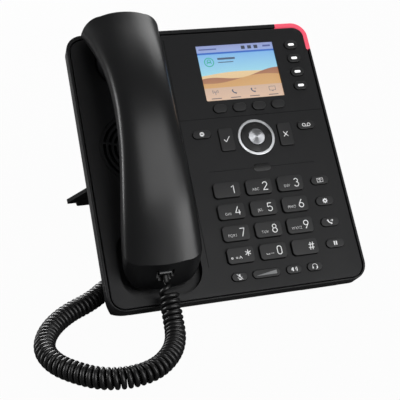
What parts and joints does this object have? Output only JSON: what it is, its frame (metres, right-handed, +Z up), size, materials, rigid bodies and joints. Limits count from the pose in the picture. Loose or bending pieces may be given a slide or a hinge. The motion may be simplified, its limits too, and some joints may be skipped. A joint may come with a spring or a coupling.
{
  "type": "desk ip phone",
  "caption": "Desk IP phone with a corded handset in a cradle, colour display, dial, line and function keys, navigation disc, message light, rear sockets and a folding stand.",
  "frame": {"origin": "centre of the standing phone's footprint, on the desk, cord left out", "axes": "+Z up, the user sits on the -Y side, +X to the user's right"},
  "size_m": [0.2251, 0.2573, 0.1722],
  "materials": {
    "housing_plastic": "fine spark texture, charcoal black",
    "handset_plastic": "satin black",
    "key_plastic": "matt black with white legends",
    "light_red": "translucent red light pipe",
    "clear_window": "clear polished",
    "display": "lit colour display",
    "smoked_window": "polished black",
    "bright_ring": "satin chrome",
    "brushed_metal": "spun brushed",
    "mat_rubber": "grey silicone",
    "foot_rubber": "matt black",
    "circuit_board": "green solder mask",
    "speaker_parts": "paper cone in a black frame",
    "socket_plastic": "black",
    "zinc_screw": "zinc plated",
    "clear_plug": "clear moulded",
    "cord_jacket": "glossy black jacket"
  },
  "bodies": {
    "housing": {"back_shell": "housing_plastic", "front_cover": "housing_plastic", "message_light": "light_red", "display_window": "clear_window", "display_module": "display", "sensor_window": "smoked_window", "hook_sensor": "smoked_window", "navigation_ring": "bright_ring", "keypad_mat": "mat_rubber", "main_board": "circuit_board", "loudspeaker": "speaker_parts", "rear_sockets": "socket_plastic", "housing_screws": "zinc_screw", "base_feet": "foot_rubber", "base_plug": "clear_plug", "base_tail": "cord_jacket", "cord_coil": "cord_jacket"},
    "handset": {"handset_top_shell": "handset_plastic", "handset_bottom_shell": "handset_plastic", "earpiece_receiver": "speaker_parts", "handset_microphone": "speaker_parts", "handset_plug": "clear_plug", "handset_tail": "cord_jacket"},
    "footstand": {"footstand": "housing_plastic", "stand_feet": "foot_rubber"},
    "key_1": {"key_1": "key_plastic"},
    "key_2": {"key_2": "key_plastic"},
    "key_3": {"key_3": "key_plastic"},
    "directory_key": {"directory_key": "key_plastic"},
    "key_4": {"key_4": "key_plastic"},
    "key_5": {"key_5": "key_plastic"},
    "key_6": {"key_6": "key_plastic"},
    "settings_key": {"settings_key": "key_plastic"},
    "key_7": {"key_7": "key_plastic"},
    "key_8": {"key_8": "key_plastic"},
    "key_9": {"key_9": "key_plastic"},
    "transfer_key": {"transfer_key": "key_plastic"},
    "key_star": {"key_star": "key_plastic"},
    "key_0": {"key_0": "key_plastic"},
    "key_hash": {"key_hash": "key_plastic"},
    "hold_key": {"hold_key": "key_plastic"},
    "soft_key_1": {"soft_key_1": "key_plastic"},
    "line_key_1": {"line_key_1": "key_plastic"},
    "soft_key_2": {"soft_key_2": "key_plastic"},
    "line_key_2": {"line_key_2": "key_plastic"},
    "soft_key_3": {"soft_key_3": "key_plastic"},
    "line_key_3": {"line_key_3": "key_plastic"},
    "soft_key_4": {"soft_key_4": "key_plastic"},
    "line_key_4": {"line_key_4": "key_plastic"},
    "confirm_key": {"confirm_key": "key_plastic"},
    "cancel_key": {"cancel_key": "key_plastic"},
    "do_not_disturb_key": {"do_not_disturb_key": "key_plastic"},
    "voicemail_key": {"voicemail_key": "key_plastic"},
    "mute_key": {"mute_key": "key_plastic"},
    "speaker_key": {"speaker_key": "key_plastic"},
    "headset_key": {"headset_key": "key_plastic"},
    "ok_key": {"ok_key": "brushed_metal"},
    "volume_rocker": {"volume_rocker": "key_plastic"},
    "navigation_rocker": {"navigation_rocker": "key_plastic"},
    "navigation_disc": {"navigation_disc": "key_plastic"}
  },
  "joints": [
    {"name": "handset_lift", "type": "slide", "parent": "housing", "child": "handset", "axis": [0, -0.7193, 0.6947], "range_m": [0, 0.05]},
    {"name": "stand_fold", "type": "hinge", "parent": "housing", "child": "footstand", "pos_m": [0, 0.04859, 0.1165], "axis": [1, 0, 0], "range_deg": [-65, 0]},
    {"name": "navigation_up_down", "type": "hinge", "parent": "housing", "child": "navigation_rocker", "pos_m": [0.0317, -0.01838, 0.08761], "axis": [1, 0, 0], "range_deg": [-1.5, 1.5], "stiffness_Nm_per_rad": 0.05},
    {"name": "navigation_left_right", "type": "hinge", "parent": "navigation_rocker", "child": "navigation_disc", "pos_m": [0.0317, -0.01838, 0.08761], "axis": [0, 0.6947, 0.7193], "range_deg": [-1.5, 1.5], "stiffness_Nm_per_rad": 0.05},
    {"name": "volume_rock", "type": "hinge", "parent": "housing", "child": "volume_rocker", "pos_m": [0.0176, -0.08572, 0.01989], "axis": [0, 0.6947, 0.7193], "range_deg": [-2.5, 2.5], "stiffness_Nm_per_rad": 0.05},
    {"name": "key_5_press", "type": "slide", "parent": "housing", "child": "key_5", "axis": [0, 0.7193, -0.6947], "range_m": [0, 0.001], "stiffness_N_per_m": 600},
    {"name": "ok_key_press", "type": "slide", "parent": "housing", "child": "ok_key", "axis": [0, 0.7193, -0.6947], "range_m": [0, 0.001], "stiffness_N_per_m": 600},
    {"name": "line_key_1_press", "type": "slide", "parent": "housing", "child": "line_key_1", "axis": [0, 0.7193, -0.6947], "range_m": [0, 0.001], "stiffness_N_per_m": 600},
    {"name": "soft_key_1_press", "type": "slide", "parent": "housing", "child": "soft_key_1", "axis": [0, 0.7193, -0.6947], "range_m": [0, 0.001], "stiffness_N_per_m": 600},
    {"name": "speaker_key_press", "type": "slide", "parent": "housing", "child": "speaker_key", "axis": [0, 0.7193, -0.6947], "range_m": [0, 0.001], "stiffness_N_per_m": 600},
    {"name": "key_1_press", "type": "slide", "parent": "housing", "child": "key_1", "axis": [0, 0.7193, -0.6947], "range_m": [0, 0.001], "stiffness_N_per_m": 600},
    {"name": "key_2_press", "type": "slide", "parent": "housing", "child": "key_2", "axis": [0, 0.7193, -0.6947], "range_m": [0, 0.001], "stiffness_N_per_m": 600},
    {"name": "key_3_press", "type": "slide", "parent": "housing", "child": "key_3", "axis": [0, 0.7193, -0.6947], "range_m": [0, 0.001], "stiffness_N_per_m": 600},
    {"name": "directory_key_press", "type": "slide", "parent": "housing", "child": "directory_key", "axis": [0, 0.7193, -0.6947], "range_m": [0, 0.001], "stiffness_N_per_m": 600},
    {"name": "key_4_press", "type": "slide", "parent": "housing", "child": "key_4", "axis": [0, 0.7193, -0.6947], "range_m": [0, 0.001], "stiffness_N_per_m": 600},
    {"name": "key_6_press", "type": "slide", "parent": "housing", "child": "key_6", "axis": [0, 0.7193, -0.6947], "range_m": [0, 0.001], "stiffness_N_per_m": 600},
    {"name": "settings_key_press", "type": "slide", "parent": "housing", "child": "settings_key", "axis": [0, 0.7193, -0.6947], "range_m": [0, 0.001], "stiffness_N_per_m": 600},
    {"name": "key_7_press", "type": "slide", "parent": "housing", "child": "key_7", "axis": [0, 0.7193, -0.6947], "range_m": [0, 0.001], "stiffness_N_per_m": 600},
    {"name": "key_8_press", "type": "slide", "parent": "housing", "child": "key_8", "axis": [0, 0.7193, -0.6947], "range_m": [0, 0.001], "stiffness_N_per_m": 600},
    {"name": "key_9_press", "type": "slide", "parent": "housing", "child": "key_9", "axis": [0, 0.7193, -0.6947], "range_m": [0, 0.001], "stiffness_N_per_m": 600},
    {"name": "transfer_key_press", "type": "slide", "parent": "housing", "child": "transfer_key", "axis": [0, 0.7193, -0.6947], "range_m": [0, 0.001], "stiffness_N_per_m": 600},
    {"name": "key_star_press", "type": "slide", "parent": "housing", "child": "key_star", "axis": [0, 0.7193, -0.6947], "range_m": [0, 0.001], "stiffness_N_per_m": 600},
    {"name": "key_0_press", "type": "slide", "parent": "housing", "child": "key_0", "axis": [0, 0.7193, -0.6947], "range_m": [0, 0.001], "stiffness_N_per_m": 600},
    {"name": "key_hash_press", "type": "slide", "parent": "housing", "child": "key_hash", "axis": [0, 0.7193, -0.6947], "range_m": [0, 0.001], "stiffness_N_per_m": 600},
    {"name": "hold_key_press", "type": "slide", "parent": "housing", "child": "hold_key", "axis": [0, 0.7193, -0.6947], "range_m": [0, 0.001], "stiffness_N_per_m": 600},
    {"name": "soft_key_2_press", "type": "slide", "parent": "housing", "child": "soft_key_2", "axis": [0, 0.7193, -0.6947], "range_m": [0, 0.001], "stiffness_N_per_m": 600},
    {"name": "line_key_2_press", "type": "slide", "parent": "housing", "child": "line_key_2", "axis": [0, 0.7193, -0.6947], "range_m": [0, 0.001], "stiffness_N_per_m": 600},
    {"name": "soft_key_3_press", "type": "slide", "parent": "housing", "child": "soft_key_3", "axis": [0, 0.7193, -0.6947], "range_m": [0, 0.001], "stiffness_N_per_m": 600},
    {"name": "line_key_3_press", "type": "slide", "parent": "housing", "child": "line_key_3", "axis": [0, 0.7193, -0.6947], "range_m": [0, 0.001], "stiffness_N_per_m": 600},
    {"name": "soft_key_4_press", "type": "slide", "parent": "housing", "child": "soft_key_4", "axis": [0, 0.7193, -0.6947], "range_m": [0, 0.001], "stiffness_N_per_m": 600},
    {"name": "line_key_4_press", "type": "slide", "parent": "housing", "child": "line_key_4", "axis": [0, 0.7193, -0.6947], "range_m": [0, 0.001], "stiffness_N_per_m": 600},
    {"name": "confirm_key_press", "type": "slide", "parent": "housing", "child": "confirm_key", "axis": [0, 0.7193, -0.6947], "range_m": [0, 0.001], "stiffness_N_per_m": 600},
    {"name": "cancel_key_press", "type": "slide", "parent": "housing", "child": "cancel_key", "axis": [0, 0.7193, -0.6947], "range_m": [0, 0.001], "stiffness_N_per_m": 600},
    {"name": "do_not_disturb_key_press", "type": "slide", "parent": "housing", "child": "do_not_disturb_key", "axis": [0, 0.7193, -0.6947], "range_m": [0, 0.001], "stiffness_N_per_m": 600},
    {"name": "voicemail_key_press", "type": "slide", "parent": "housing", "child": "voicemail_key", "axis": [0, 0.7193, -0.6947], "range_m": [0, 0.001], "stiffness_N_per_m": 600},
    {"name": "mute_key_press", "type": "slide", "parent": "housing", "child": "mute_key", "axis": [0, 0.7193, -0.6947], "range_m": [0, 0.001], "stiffness_N_per_m": 600},
    {"name": "headset_key_press", "type": "slide", "parent": "housing", "child": "headset_key", "axis": [0, 0.7193, -0.6947], "range_m": [0, 0.001], "stiffness_N_per_m": 600}
  ]
}
